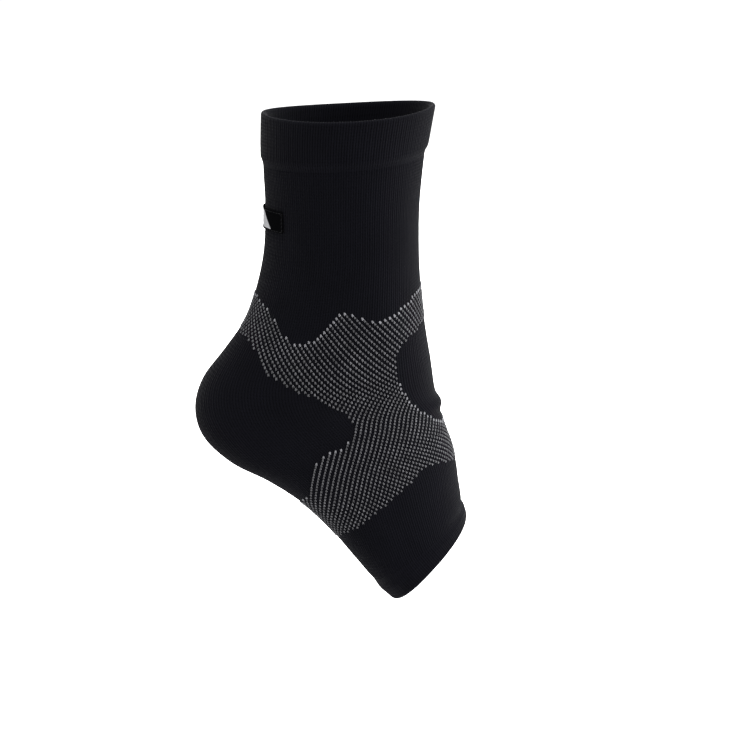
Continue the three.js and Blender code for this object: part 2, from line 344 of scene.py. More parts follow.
class SleeveForm:
    """The outer face of the sleeve, sampled closely along it and round it, in millimetres.
    A place on it is a share of the way round and a distance from the leg rim: share 0 is the front,
    0.25 the outer side, 0.5 the back and 0.75 the inner side."""

    def __init__(self):
        values = column(SECTION_COLUMNS, SECTIONS, *SECTION_COLUMNS[1:])
        steps = np.linspace(0, len(SECTIONS) - 1, SAMPLES_PER_SECTION * (len(SECTIONS) - 1) + 1)
        along = curve_through(values, steps)
        front, back = along[:, 0:2], along[:, 2:4]
        self.twists = along[:, -1]
        moves = np.linalg.norm(np.diff((front + back) / 2, axis=0), axis=1)
        self.lengths = np.concatenate([[0], np.cumsum(moves)])
        outlines = [self.outline(row) for row in along]
        self.girths = np.array([girth for _, girth in outlines])
        points = np.array([points for points, _ in outlines])
        normals = self.normals(points)
        push = self.pushed_out(points)
        self.samples = np.concatenate([points, normals, push[..., None]], axis=2)

    @staticmethod
    def outline(row):
        """Points spread evenly round one section, and its girth"""
        front_x, front_z, back_x, back_z, half_width, egg, blunt, ridge, _ = row
        angle = np.linspace(0, TURN, SAMPLES_ROUND + 1)

        def squared(value):
            return np.sign(value) * np.abs(value) ** (2 / blunt)

        ahead = squared(np.cos(angle))
        outer = np.stack([
            (front_x + back_x) / 2 + (front_x - back_x) / 2 * ahead,
            ridge * (1 + ahead) / 2 - squared(np.sin(angle)) * half_width * (1 + egg * ahead),
            (front_z + back_z) / 2 + (front_z - back_z) / 2 * ahead,
        ])
        reach = np.concatenate([[0], np.cumsum(np.linalg.norm(np.diff(outer, axis=1), axis=0))])
        even = np.linspace(0, reach[-1], SAMPLES_ROUND + 1)
        return np.stack([np.interp(even, reach, values) for values in outer], axis=1), reach[-1]

    @staticmethod
    def normals(points):
        """Outward directions at the sampled points"""
        along = np.gradient(points, axis=0)
        ring = points[:, :-1]
        round_it = np.roll(ring, -1, axis=1) - np.roll(ring, 1, axis=1)
        round_it = np.concatenate([round_it, round_it[:, :1]], axis=1)
        outward = np.cross(round_it, along)
        return outward / np.linalg.norm(outward, axis=2, keepdims=True)

    @staticmethod
    def pushed_out(points):
        """How far the swellings and the fold push the outer face out"""
        push = np.zeros(points.shape[:2])
        for x, y, z, height, width in column(SWELLING_COLUMNS, SWELLINGS, *SWELLING_COLUMNS[1:]):
            away = np.linalg.norm(points - (x, y, z), axis=2) / width
            push += height * np.exp(-(away**2) / 2)
        away = (points[..., 2] - FOLD_LEVEL) / FOLD_SPREAD
        fade = np.cos(np.clip(points[..., 1] / FOLD_HALF_SPAN, -1, 1) * math.pi / 2) ** 2
        return push + np.where(points[..., 0] > 0, FOLD_HEIGHT * fade * np.exp(-(away**2) / 2), 0)

    def distance_to(self, name):
        """Distance of a named section from the leg rim"""
        row = [section[0] for section in SECTIONS].index(name)
        return self.lengths[row * SAMPLES_PER_SECTION]

    def girth(self, distance):
        return np.interp(distance, self.lengths, self.girths)

    def twist(self, distance):
        return np.interp(distance, self.lengths, self.twists)

    def end_dip(self, share, distance):
        """How much further from the leg rim a place lies because the ends dip at the sides"""
        dip = np.zeros(len(distance))
        for _, by, full_from, gone_at in END_DIPS:
            gone = self.distance_to(gone_at)
            dip += by * np.clip((distance - gone) / (self.distance_to(full_from) - gone), 0, 1)
        return dip * np.abs(np.sin(TURN * share)) ** END_DIP_POWER

    def skin(self, share, level, offset):
        """Points at an offset out of the outer face, all given in millimetres, in metres"""
        distance = level + self.end_dip(share, level)
        row = np.interp(distance, self.lengths, np.arange(len(self.lengths)))
        top = np.minimum(row.astype(int), len(self.lengths) - 2)
        down = (row - top)[:, None]
        place = np.mod(share, 1) * SAMPLES_ROUND
        left = np.minimum(place.astype(int), SAMPLES_ROUND - 1)
        across = (place - left)[:, None]
        upper = self.samples[top, left] * (1 - across) + self.samples[top, left + 1] * across
        lower = self.samples[top + 1, left] * (1 - across) + self.samples[top + 1, left + 1] * across
        found = upper * (1 - down) + lower * down
        return (found[:, 0:3] + found[:, 3:6] * (found[:, 6] + offset)[:, None]) * MM


FORM = SleeveForm()
WALL_FROM = FORM.distance_to("cuff foot")
WALL_TO = FORM.distance_to("hem start")


# The flat knit and its stitches

def ramp(value):
    """0 below 0, 1 above 1, and smooth between them"""
    value = np.clip(value, 0, 1)
    return value * value * (3 - 2 * value)


def knit_place(u, v):
    """Share and distance of a place on the flat knit: u is round the sleeve, v from cuff to hem"""
    full = ramp(v / BOW_FULL_FROM) * ramp((1 - v) / (1 - BOW_FULL_TO))
    bow = BOW_ONCE * np.cos(TURN * u) + BOW_TWICE * np.cos(2 * TURN * u)
    level = WALL_FROM + v * (WALL_TO - WALL_FROM)
    bend = np.exp(-(((level - CROWD_AT) / CROWD_SPREAD) ** 2) / 2)
    distance = level - full * bow - CROWD * bend * (1 + np.cos(TURN * u)) / 2
    return u + FORM.twist(distance), distance


def stitch_moves(across, along, relief, splay, rib):
    """Sideways and outward moves that turn a plain grid into columns of V-shaped stitches.
    across and along count stitches: a column's edges are at whole numbers and its middle between them."""
    leg = np.sin(TURN * across)
    foot = np.cos(TURN * along)
    sideways = splay * leg * foot
    crown = (1 - np.cos(TURN * across)) / 2
    groove = (1 - crown) ** 2
    split = SPLIT_DEPTH * (1 - np.abs(leg)) * crown
    tuck = TUCK_DEPTH * np.abs(leg) * (1 + foot) / 2
    every_other = np.cos(math.pi * across - math.pi / 2)
    return sideways, rib * every_other - relief * (groove + split + tuck)


def stitch_numbers(knit):
    """The column and the row of every stitch of the wall"""
    return np.meshgrid(np.arange(knit.wales), np.arange(knit.courses), indexing="ij")


def zones_of_stitches(knit):
    """The number of the zone that each stitch belongs to, by the nearest solid"""
    across, along = stitch_numbers(knit)
    u, v = (across.ravel() + 0.5) / knit.wales, (along.ravel() + 0.5) / knit.courses
    middle_of_wall = np.full(len(u), -knit.wall / MM / 2)
    middles = [Vector(point) for point in FORM.skin(*knit_place(u, v), middle_of_wall)]
    away = []
    for zone in ZONES:
        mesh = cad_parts[zone].data
        tree = BVHTree.FromPolygons(
            [vertex.co for vertex in mesh.vertices], [face.vertices for face in mesh.polygons])
        away.append([tree.find_nearest(middle)[3] for middle in middles])
    return np.argmin(away, axis=0).reshape(knit.wales, knit.courses)


# Small helpers for meshes

def deselect_all():
    if bpy.context.object and bpy.context.object.mode != "OBJECT":
        bpy.ops.object.mode_set(mode="OBJECT")
    bpy.ops.object.select_all(action="DESELECT")


def activate(piece):
    deselect_all()
    piece.select_set(True)
    bpy.context.view_layer.objects.active = piece


def name_piece(piece, name):
    piece.name = name
    piece.data.name = name


def places_of(piece):
    flat = np.empty(len(piece.data.vertices) * 3)
    piece.data.vertices.foreach_get("co", flat)
    return flat.reshape(-1, 3)


def move_to(piece, points):
    piece.data.vertices.foreach_set("co", np.asarray(points, np.float32).ravel())
    piece.data.update()


def select_faces(piece, wanted):
    """Selects the faces that wanted marks, and nothing else, and goes into edit mode"""
    activate(piece)
    bpy.ops.object.mode_set(mode="EDIT")
    bpy.ops.mesh.select_mode(type="FACE")
    bpy.ops.mesh.select_all(action="DESELECT")
    bpy.ops.object.mode_set(mode="OBJECT")
    piece.data.polygons.foreach_set("select", np.asarray(wanted, bool))
    bpy.ops.object.mode_set(mode="EDIT")


def crease_round(piece, wanted):
    """Keeps the shading sharp along the edge of the faces that wanted marks"""
    select_faces(piece, wanted)
    bpy.ops.mesh.region_to_loop()
    bpy.ops.mesh.mark_sharp()
    bpy.ops.object.mode_set(mode="OBJECT")


def merge_seam(piece):
    select_faces(piece, np.ones(len(piece.data.polygons)))
    bpy.ops.mesh.remove_doubles(threshold=MERGE_WITHIN)
    bpy.ops.object.mode_set(mode="OBJECT")


def face_outward(piece):
    select_faces(piece, np.ones(len(piece.data.polygons)))
    bpy.ops.mesh.normals_make_consistent(inside=False)
    bpy.ops.object.mode_set(mode="OBJECT")


def apply_modifier(piece, kind, **values):
    activate(piece)
    modifier = piece.modifiers.new(kind.title(), kind)
    for name, value in values.items():
        setattr(modifier, name, value)
    bpy.ops.object.modifier_apply(modifier=modifier.name)


def flat_grid(faces_across, faces_along):
    """A flat grid with a UV map, and u and v of its points"""
    deselect_all()
    bpy.ops.mesh.primitive_grid_add(
        x_subdivisions=faces_across, y_subdivisions=faces_along, size=2, calc_uvs=True)
    grid = bpy.context.object
    u, v = (places_of(grid)[:, :2].T + 1) / 2
    return grid, u, v


def model_grain(width, length):
    """A plump grain of yarn, flat on the XY plane, with its length along Y"""
    deselect_all()
    bpy.ops.mesh.primitive_uv_sphere_add(segments=6, ring_count=4, radius=0.5, rotation=(math.pi / 2, 0, 0))
    bpy.ops.object.transform_apply(location=False, rotation=True, scale=False)
    bpy.ops.transform.resize(value=(width, length, width))
    bpy.ops.object.transform_apply(location=False, rotation=False, scale=True)
    return bpy.context.object


def lay_copies(name, shape, middles, length, outward, size):
    """A copy of a shape at each place, its Y axis turned along length and its Z axis outward, as one mesh"""
    length = length / np.linalg.norm(length, axis=1, keepdims=True)
    axes = np.stack([np.cross(length, outward), length, outward], axis=1) * size[:, None, None]
    points = middles[:, None, :] + np.einsum("vk,nkc->nvc", places_of(shape), axes)
    starts = np.arange(len(middles)) * len(shape.data.vertices)
    faces = [[start + k for k in face.vertices] for start in starts for face in shape.data.polygons]
    mesh = bpy.data.meshes.new(name)
    mesh.from_pydata(points.reshape(-1, 3), [], faces)
    piece = bpy.data.objects.new(name, mesh)
    bpy.context.scene.collection.objects.link(piece)
    face_outward(piece)
    return piece


def flat_places(piece):
    """u and v of each corner of a mesh's faces"""
    layer = piece.data.uv_layers.active
    flat = np.empty(len(layer.uv) * 2, np.float32)
    layer.uv.foreach_get("vector", flat)
    return flat.reshape(-1, 2).astype(float)


def numbers_of(items, name):
    """A whole number of each face or corner of a mesh"""
    found = np.empty(len(items), np.int32)
    items.foreach_get(name, found)
    return found


def face_values(piece, name):
    return numbers_of(piece.data.polygons, name)


def finish_piece(piece, material, slot, *nodes):
    """Gives a piece its one material, smooth shading and a body, and hides the solids that it stands for"""
    piece.data.materials.clear()
    piece.data.materials.append(material)
    piece.data.polygons.foreach_set("material_index", np.zeros(len(piece.data.polygons), np.int32))
    activate(piece)
    bpy.ops.object.shade_smooth()
    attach(piece, BODY)
    if nodes:
        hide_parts(*nodes)
    return piece


# Materials

def new_group(name, inputs, outputs):
    """An empty group that takes a place on a piece and the named values, and puts out values"""
    group = bpy.data.node_groups.new(name, "ShaderNodeTree")
    group.interface.new_socket(name="Place", in_out="INPUT", socket_type="NodeSocketVector")
    for direction, names in (("INPUT", inputs), ("OUTPUT", outputs)):
        for value in names:
            group.interface.new_socket(name=value, in_out=direction, socket_type="NodeSocketFloat")
    return group, group.nodes.new("NodeGroupInput"), group.nodes.new("NodeGroupOutput")


def math_node(tree, operation, *inputs):
    node = tree.nodes.new("ShaderNodeMath")
    node.operation = operation
    for place, value in zip(node.inputs, inputs):
        if isinstance(value, bpy.types.NodeSocket):
            tree.links.new(value, place)
        else:
            place.default_value = value
    return node.outputs[0]


def yarn_group():
    """Tone and height of spun yarn: fine fibres, and slow changes of shade from place to place"""
    found = bpy.data.node_groups.get("spun_yarn")
    if found:
        return found
    group, inside, outside = new_group(
        "spun_yarn", ("Fibre Scale", "Shade Scale", "Variation"), ("Tone", "Height"))
    noises = []
    for scale, detail in (("Fibre Scale", 3), ("Shade Scale", 4)):
        noise = group.nodes.new("ShaderNodeTexNoise")
        noise.inputs["Detail"].default_value = detail
        group.links.new(inside.outputs["Place"], noise.inputs["Vector"])
        group.links.new(inside.outputs[scale], noise.inputs["Scale"])
        noises.append(noise.outputs["Fac"])
    fibres, shade = noises
    centred = math_node(group, "SUBTRACT", math_node(group, "ADD", fibres, shade), 1.0)
    tone = math_node(group, "MULTIPLY_ADD", centred, inside.outputs["Variation"], 1.0)
    group.links.new(tone, outside.inputs["Tone"])
    group.links.new(fibres, outside.inputs["Height"])
    return group


def stitch_group():
    """Stitches on a UV map, as two masks: the columns, 0 between them and 1 in the middle of each, and
    the legs of the stitches, 0 in the grooves and 1 on the ridges"""
    found = bpy.data.node_groups.get("knit_columns")
    if found:
        return found
    group, inside, outside = new_group("knit_columns", ("Wales", "Courses"), ("Columns", "Legs"))
    apart = group.nodes.new("ShaderNodeSeparateXYZ")
    group.links.new(inside.outputs["Place"], apart.inputs["Vector"])
    across = math_node(group, "MULTIPLY", apart.outputs["X"], inside.outputs["Wales"])
    along = math_node(group, "MULTIPLY", apart.outputs["Y"], inside.outputs["Courses"])
    foot = math_node(group, "COSINE", math_node(group, "MULTIPLY", along, TURN))
    leg = math_node(group, "SINE", math_node(group, "MULTIPLY", across, TURN))
    turned = math_node(group, "COSINE", math_node(group, "MULTIPLY", across, TURN))
    group.links.new(math_node(group, "MULTIPLY_ADD", turned, -0.5, 0.5), outside.inputs["Columns"])
    lean = math_node(group, "MULTIPLY", math_node(group, "MULTIPLY", leg, foot), -LEG_SLANT)
    slanted = math_node(group, "SINE", math_node(group, "MULTIPLY_ADD", across, TURN, lean))
    ridge = math_node(group, "ABSOLUTE", slanted)
    round_top = math_node(group, "MULTIPLY_ADD", foot, -LEG_SWING, 1 - LEG_SWING)
    group.links.new(math_node(group, "MULTIPLY", ridge, round_top), outside.inputs["Legs"])
    return group


def place_group(tree, group, coordinates, **values):
    """A group in a material, on the named coordinates of the piece and with its own values"""
    node = tree.nodes.new("ShaderNodeGroup")
    node.node_tree = group
    where = tree.nodes.new("ShaderNodeTexCoord")
    tree.links.new(where.outputs[coordinates], node.inputs["Place"])
    for name, value in values.items():
        node.inputs[name.replace("_", " ").title()].default_value = value
    return node


def new_material(name, roughness, specular, sheen, sheen_roughness):
    """A bare Principled material with the values that are the same all over its surface"""
    material = bpy.data.materials.new(name)
    material.use_nodes = True
    shader = material.node_tree.nodes["Principled BSDF"]
    shader.inputs["Roughness"].default_value = roughness
    shader.inputs["Specular IOR Level"].default_value = specular
    shader.inputs["Sheen Weight"].default_value = sheen
    shader.inputs["Sheen Roughness"].default_value = sheen_roughness
    return material, shader


def tinted(tree, colour, *tones):
    """A colour multiplied by one or more tones"""
    tone = tones[0]
    for other in tones[1:]:
        tone = math_node(tree, "MULTIPLY", tone, other)
    scaled = tree.nodes.new("ShaderNodeVectorMath")
    scaled.operation = "SCALE"
    scaled.inputs[0].default_value = colour
    tree.links.new(tone, scaled.inputs["Scale"])
    return scaled.outputs["Vector"]


def bump(tree, shader, height, distance):
    node = tree.nodes.new("ShaderNodeBump")
    node.inputs["Distance"].default_value = distance
    tree.links.new(height, node.inputs["Height"])
    tree.links.new(node.outputs["Normal"], shader.inputs["Normal"])


def knit_material(name, colour, wales, courses, groove_painted_shade):
    """Black knit: matt yarn with a soft sheen, with painted shade in the grooves between its columns and
    painted light on the legs of its stitches. The last argument is how much darker the grooves are painted
    than the middle of a column."""
    material, shader = new_material(name, roughness=0.9, specular=0.016, sheen=0.032, sheen_roughness=0.4)
    tree = material.node_tree
    yarn = place_group(tree, yarn_group(), "Object", fibre_scale=2600, shade_scale=55, variation=0.5)
    columns = place_group(tree, stitch_group(), "UV", wales=wales, courses=courses)
    # Painted shade: the grooves between the columns and between the legs are painted darker and the legs
    # paler, standing in for the shade and light of the stitches' relief
    groove = PAINTED_GROOVE_SHADE - groove_painted_shade / 2
    shade = math_node(tree, "MULTIPLY_ADD", columns.outputs["Legs"], PAINTED_LEG_LIGHT, groove)
    depth = math_node(tree, "MULTIPLY_ADD", columns.outputs["Columns"], groove_painted_shade, shade)
    tree.links.new(tinted(tree, colour, yarn.outputs["Tone"], depth), shader.inputs["Base Color"])
    stitches = math_node(tree, "ADD", columns.outputs["Columns"], columns.outputs["Legs"])
    fuzz = math_node(tree, "MULTIPLY_ADD", yarn.outputs["Height"], FIBRE_HEIGHT, stitches)
    bump(tree, shader, fuzz, distance=0.00005)
    return material


def yarn_material(name, colour, sheen, tone=None):
    """Yarn that lies on top of the knit or the label, spun a little thicker than the black.
    tone names an attribute of the mesh that makes some stitches paler than others."""
    material, shader = new_material(name, roughness=0.85, specular=0.1, sheen=sheen, sheen_roughness=0.4)
    tree = material.node_tree
    yarn = place_group(tree, yarn_group(), "Object", fibre_scale=1900, shade_scale=160, variation=1.4)
    tones = [yarn.outputs["Tone"]]
    if tone:
        paler = tree.nodes.new("ShaderNodeAttribute")
        paler.attribute_name = tone
        tones.append(paler.outputs["Fac"])
    tree.links.new(tinted(tree, colour, *tones), shader.inputs["Base Color"])
    bump(tree, shader, yarn.outputs["Height"], distance=0.0001)
    return material


def satin_material(name, colour, roughness, threads_across, threads_along):
    """Close satin weave on a UV map, with fine threads both ways and painted shade between them"""
    material, shader = new_material(name, roughness, specular=0, sheen=0.004, sheen_roughness=0.3)
    tree = material.node_tree
    yarn = place_group(tree, yarn_group(), "Object", fibre_scale=2200, shade_scale=300, variation=0.3)
    weave = place_group(tree, stitch_group(), "UV", wales=threads_across, courses=threads_along)
    # Painted shade: the grooves of the weave are painted darker than its threads
    depth = math_node(tree, "MULTIPLY_ADD", weave.outputs["Legs"], PAINTED_LEG_LIGHT, PAINTED_GROOVE_SHADE)
    tree.links.new(tinted(tree, colour, yarn.outputs["Tone"], depth), shader.inputs["Base Color"])
    bump(tree, shader, weave.outputs["Legs"], distance=0.00004)
    return material


# Pieces

class SLEEVE_OT_knit_wall(bpy.types.Operator):
    """Knit the wall of the sleeve and part it into its zones"""
    bl_idname = "sleeve.knit_wall"
    bl_label = "Knit Wall"

    def execute(self, context):
        knit = context.scene.sleeve_knit
        sheet = self.roll_up(knit)
        zones = zones_of_stitches(knit)
        colour = context.scene.sleeve_colours.black
        # Painted shade in the grooves of the wall's knit, a little less of it on the wrap
        black = knit_material("wall_yarn", colour, knit.wales, knit.courses, groove_painted_shade=0.4)
        wrap = knit_material("wrap_yarn", colour, knit.wales, knit.courses, groove_painted_shade=0.3)
        for zone, piece in self.part(sheet, zones, knit):
            self.thicken(piece, knit)
            self.raise_stitches(piece, knit)
            if zone == "support_wrap":
                finish_piece(piece, wrap, "support_knit", zone)
            else:
                finish_piece(piece, black, "black_knit", zone)
                zones == ZONES.index(zone)
        return {"FINISHED"}

    @staticmethod
    def roll_up(knit):
        """A flat grid with two faces for each stitch, rolled up into the tube"""
        sheet, u, v = flat_grid(2 * knit.wales, knit.courses)
        move_to(sheet, FORM.skin(*knit_place(u, v), np.zeros(len(u))))
        merge_seam(sheet)
        return sheet

    @staticmethod
    def part(sheet, zones, knit):
        """Each zone with the part of the sheet that belongs to it"""
        for number, zone in enumerate(ZONES):
            if number < len(ZONES) - 1:
                uv = flat_places(sheet)
                starts = face_values(sheet, "loop_start")
                ends = starts + face_values(sheet, "loop_total")
                middles = np.array([uv[a:b].mean(axis=0) for a, b in zip(starts, ends)])
                across = np.minimum((middles[:, 0] * knit.wales).astype(int), knit.wales - 1)
                along = np.minimum((middles[:, 1] * knit.courses).astype(int), knit.courses - 1)
                select_faces(sheet, zones[across, along] == number)
                bpy.ops.mesh.separate(type="SELECTED")
                bpy.ops.object.mode_set(mode="OBJECT")
                piece = next(other for other in bpy.context.selected_objects if other != sheet)
            else:
                piece = sheet
            name_piece(piece, zone + "_knit")
            yield zone, piece

    @staticmethod
    def thicken(piece, knit):
        """The wall's thickness, with its inner face and its rim each in a material slot of its own"""
        for _ in (OUTER_FACE, INNER_FACE, RIM_FACE):
            piece.data.materials.append(None)
        apply_modifier(
            piece, "SOLIDIFY", thickness=knit.wall, offset=-1, use_rim=True, use_even_offset=False,
            material_offset=INNER_FACE, material_offset_rim=RIM_FACE)
        crease_round(piece, face_values(piece, "material_index") == RIM_FACE)

    @staticmethod
    def raise_stitches(piece, knit):
        """Four faces across and two along for each stitch of the outer face, shaped as a V"""
        select_faces(piece, face_values(piece, "material_index") == OUTER_FACE)
        bpy.ops.mesh.subdivide(number_cuts=1)
        bpy.ops.object.mode_set(mode="OBJECT")
        outer = face_values(piece, "material_index") == OUTER_FACE
        of_outer = np.repeat(outer, face_values(piece, "loop_total"))
        corners = numbers_of(piece.data.loops, "vertex_index")[of_outer]
        uv = flat_places(piece)[of_outer]
        points = places_of(piece)
        across, along = uv[:, 0] * knit.wales, uv[:, 1] * knit.courses
        sideways, out = stitch_moves(across, along, knit.relief / MM, knit.splay, knit.rib / MM)
        share, distance = knit_place((across + sideways) / knit.wales, uv[:, 1])
        points[corners] = FORM.skin(share, distance, out)
        move_to(piece, points)


class SLEEVE_OT_turn_welts(bpy.types.Operator):
    """Make the turned, ribbed welts at the leg opening and the toe opening"""
    bl_idname = "sleeve.turn_welts"
    bl_label = "Turn Welts"

    def execute(self, context):
        knit, welt = context.scene.sleeve_knit, context.scene.sleeve_welt
        colour = context.scene.sleeve_colours.black
        pitch = (WALL_TO - WALL_FROM) / knit.courses
        ends = (
            ("top_cuff", 0, WALL_FROM, -1),
            ("toe_hem", FORM.lengths[-1], WALL_TO, 1),
        )
        for node, rim, foot, towards in ends:
            loop = self.profile(rim, foot, towards, pitch, knit, welt)
            piece = self.sweep(loop, knit, welt)
            name_piece(piece, node + "_knit")
            courses = len(loop) / WELT_ROWS
            # Painted shade in the grooves of the welt's ribs, deeper than on the wall
            ribs = knit_material(node + "_yarn", colour, knit.wales, courses, groove_painted_shade=0.7)
            finish_piece(piece, ribs, "welt_knit", node)
        return {"FINISHED"}

    @staticmethod
    def profile(rim, foot, towards, pitch, knit, welt):
        """Distance, offset and depth of stitch round a welt: up its face, round the rim and down inside"""
        wall, out = knit.wall / MM, welt.stands_out / MM
        radius, middle = (wall + out) / 2, (out - wall) / 2
        step = foot + towards * welt.step_run / MM
        shoulder = rim - towards * radius
        courses = round(abs(shoulder - step) / pitch)
        loop = []
        for run in np.linspace(0, 1, STEP_ROWS, endpoint=False):
            depth = FOOT_DEPTH + (1 - FOOT_DEPTH) * run
            loop.append((foot + (step - foot) * run, out * ramp(run), depth))
        loop += [(distance, out, 1) for distance in np.linspace(step, shoulder, WELT_ROWS * courses + 1)]
        for angle in np.linspace(math.pi / 2, -math.pi / 2, RIM_ROWS + 2)[1:-1]:
            reach, rise = radius * math.cos(angle), radius * math.sin(angle)
            loop.append((shoulder + towards * reach, middle + rise, RIM_DEPTH))
        loop += [(distance, -wall, INSIDE_DEPTH) for distance in np.linspace(shoulder, foot, courses + 1)]
        return np.array(loop)

    @staticmethod
    def sweep(loop, knit, welt):
        """A grid rolled up into a ring and moved onto the welt's profile"""
        faces_round = WELT_FACES * knit.wales
        ring, u, v = flat_grid(faces_round, len(loop))
        row = np.round(v * len(loop)).astype(int) % len(loop)
        distance, offset, depth = loop[row].T
        across = np.round(u * faces_round) / WELT_FACES
        along = row / WELT_ROWS
        sideways, out = stitch_moves(across, along, knit.relief / MM, knit.splay, welt.rib / MM)
        inside = np.where(offset < 0, -1, 1)
        share = (across + sideways * depth) / knit.wales + FORM.twist(distance)
        move_to(ring, FORM.skin(share, distance, offset + inside * depth * out))
        merge_seam(ring)
        face_outward(ring)
        foot = np.arange(len(ring.data.polygons)) // faces_round == len(loop) - 1
        crease_round(ring, foot)
        return ring


class SLEEVE_OT_set_grey_stitches(bpy.types.Operator):
    """Lay the staggered grey stitches of the support wrap"""
    bl_idname = "sleeve.set_grey_stitches"
    bl_label = "Set Grey Stitches"

    def execute(self, context):
        knit, stitch = context.scene.sleeve_knit, context.scene.sleeve_stitch
        wrap = zones_of_stitches(knit) == ZONES.index("support_wrap")
        across, along = stitch_numbers(knit)
        grey = wrap & ((across + along) % 2 == 0)
        loop = self.model_loop(stitch)
        colour = context.scene.sleeve_colours.grey
        material = yarn_material("grey_yarn", colour, sheen=0.2, tone="tone")
        outer = across < knit.wales / 2
        draw = np.random.default_rng(TONE_SEED)
        for name, side in (("outer_grey_stitches", outer), ("inner_grey_stitches", ~outer)):
            piece = self.copies(name, loop, grey, np.nonzero(grey & side), knit, stitch, draw)
            finish_piece(piece, material, "support_knit")
        bpy.data.objects.remove(loop)
        return {"FINISHED"}

    @staticmethod
    def model_loop(stitch):
        """One stitch: two slanted grains side by side, flat on the XY plane, in metres"""
        legs = [model_grain(stitch.width, stitch.length) for _ in range(2)]
        for leg, side in zip(legs, (-1, 1)):
            activate(leg)
            leg.rotation_euler.z = -side * stitch.lean
            leg.location.x = side * stitch.apart / 2
            bpy.ops.object.transform_apply(location=True, rotation=True, scale=False)
        legs[0].select_set(True)
        bpy.ops.object.join()
        return bpy.context.object

    @staticmethod
    def lattice(across, along, knit):
        """Places of stitches, the ways across one column and one row, and outward by a stitch's area"""
        def at(wales, courses):
            u, v = (across + 0.5 + wales) / knit.wales, (along + 0.5 + courses) / knit.courses
            return FORM.skin(*knit_place(u, v), np.zeros(len(u)))

        wale, course = at(0.5, 0) - at(-0.5, 0), at(0, 0.5) - at(0, -0.5)
        return at(0, 0), wale, course, np.cross(wale, course)

    @classmethod
    def copies(cls, name, loop, grey, places, knit, stitch, draw):
        """The stitch copied to each place on the knit, turned towards its nearer neighbours, as one mesh"""
        across, along = places
        middles, wale, course, outward = cls.lattice(across, along, knit)
        area = np.linalg.norm(outward, axis=1)
        outward /= area[:, None]
        down = np.linalg.norm(course + wale, axis=1)
        up = np.linalg.norm(course - wale, axis=1)
        drawn = np.clip((up - down) / (up + down) / stitch.drawn_at, -1, 1) * stitch.drawn
        before = (across - np.where(drawn < 0, -1, 1)) % knit.wales
        starts = ~grey[before, along - 1]
        size = np.where(starts, stitch.first, 1) * np.sqrt(area / np.median(area))
        length = course + drawn[:, None] * wale
        middles += outward * (knit.relief * stitch.raised)
        piece = lay_copies(name, loop, middles, length, outward, size)
        tones = np.where(starts, stitch.first_tone, 1 - stitch.uneven * draw.random(len(starts)))
        attribute = piece.data.attributes.new("tone", "FLOAT", "POINT")
        attribute.data.foreach_set("value", np.repeat(tones, len(loop.data.vertices)))
        return piece


class SLEEVE_OT_sew_label(bpy.types.Operator):
    """Sew the woven label with its plain bar onto the back"""
    bl_idname = "sleeve.sew_label"
    bl_label = "Sew Label"

    def execute(self, context):
        label, colours = context.scene.sleeve_label, context.scene.sleeve_colours
        ground = self.patch("back_label_satin", label, self.ground_place(label), label.thickness)
        satin = satin_material(
            "label_satin", colours.satin, roughness=0.55, threads_across=90, threads_along=30)
        finish_piece(ground, satin, "label_weave", "back_label")
        bar = self.patch("back_label_bar", label, self.bar_place(label), label.bar_thickness)
        pale = satin_material("label_bar", colours.bar, roughness=0.6, threads_across=40, threads_along=24)
        finish_piece(bar, pale, "label_weave")
        seam = self.sewn_line("back_label_seam", label)
        finish_piece(seam, yarn_material("seam_thread", colours.seam, sheen=0.02), "label_weave")
        return {"FINISHED"}

    @staticmethod
    def ground_place(label):
        """From u and v of the label to millimetres sideways, down from its top and out of the knit"""
        def place(u, v):
            edge = np.minimum(np.minimum(u, 1 - u) * label.width, np.minimum(v, 1 - v) * label.height)
            hem = label.hem_rise * (edge < label.hem_width)
            side = (u - 0.5) * label.width / MM
            return side, v * label.height / MM, (label.stand_off + label.thickness + hem) / MM
        return place

    @staticmethod
    def bar_place(label):
        """The same for the bar, which lies a little proud of the label's ground"""
        def place(u, v):
            side = ((u - 0.5) * label.bar_width - label.bar_shift - v * label.bar_slant) / MM
            down = (label.bar_margin + v * (label.height - 2 * label.bar_margin)) / MM
            out = (label.stand_off + label.thickness + label.bar_rise) / MM
            return side, down, np.full(len(u), out)
        return place

    @staticmethod
    def on_back(label, side, down, offset):
        """Points on the back: millimetres sideways, down from the label's top, and out of the knit"""
        level = label.top / MM + down
        return FORM.skin(0.5 + side / FORM.girth(level), level, offset)

    @classmethod
    def sewn_line(cls, name, label):
        """Small stitches along the label's four edges"""
        half = (label.width / 2 - label.seam_inset) / MM
        top, foot = label.seam_inset / MM, (label.height - label.seam_inset) / MM
        corners = np.array([(-half, top), (half, top), (half, foot), (-half, foot)])
        places, ways = [], []
        for start, stop in zip(corners, np.roll(corners, -1, axis=0)):
            count = round(np.linalg.norm(stop - start) * MM / label.seam_pitch)
            for step in (np.arange(count) + 0.5) / count:
                places.append(start + (stop - start) * step)
                ways.append((stop - start) / np.linalg.norm(stop - start))
        side, down = np.array(places).T
        ahead, below = np.array(ways).T
        surface = np.full(len(side), (label.stand_off + label.thickness + label.hem_rise) / MM)
        middles = cls.on_back(label, side, down, surface)
        length = cls.on_back(label, side + ahead, down + below, surface) - middles
        outward = (cls.on_back(label, side, down, surface + 1) - middles) / MM
        grain = model_grain(label.thread, label.seam_pitch * label.seam_share)
        piece = lay_copies(name, grain, middles, length, outward, np.ones(len(side)))
        bpy.data.objects.remove(grain)
        return piece

    @classmethod
    def patch(cls, name, label, place, thickness):
        """A small grid bent to the back of the sleeve, with a thickness"""
        piece, u, v = flat_grid(*PATCH_FACES)
        move_to(piece, cls.on_back(label, *place(u, v)))
        apply_modifier(piece, "SOLIDIFY", thickness=thickness, offset=-1, use_rim=True)
        name_piece(piece, name)
        return piece


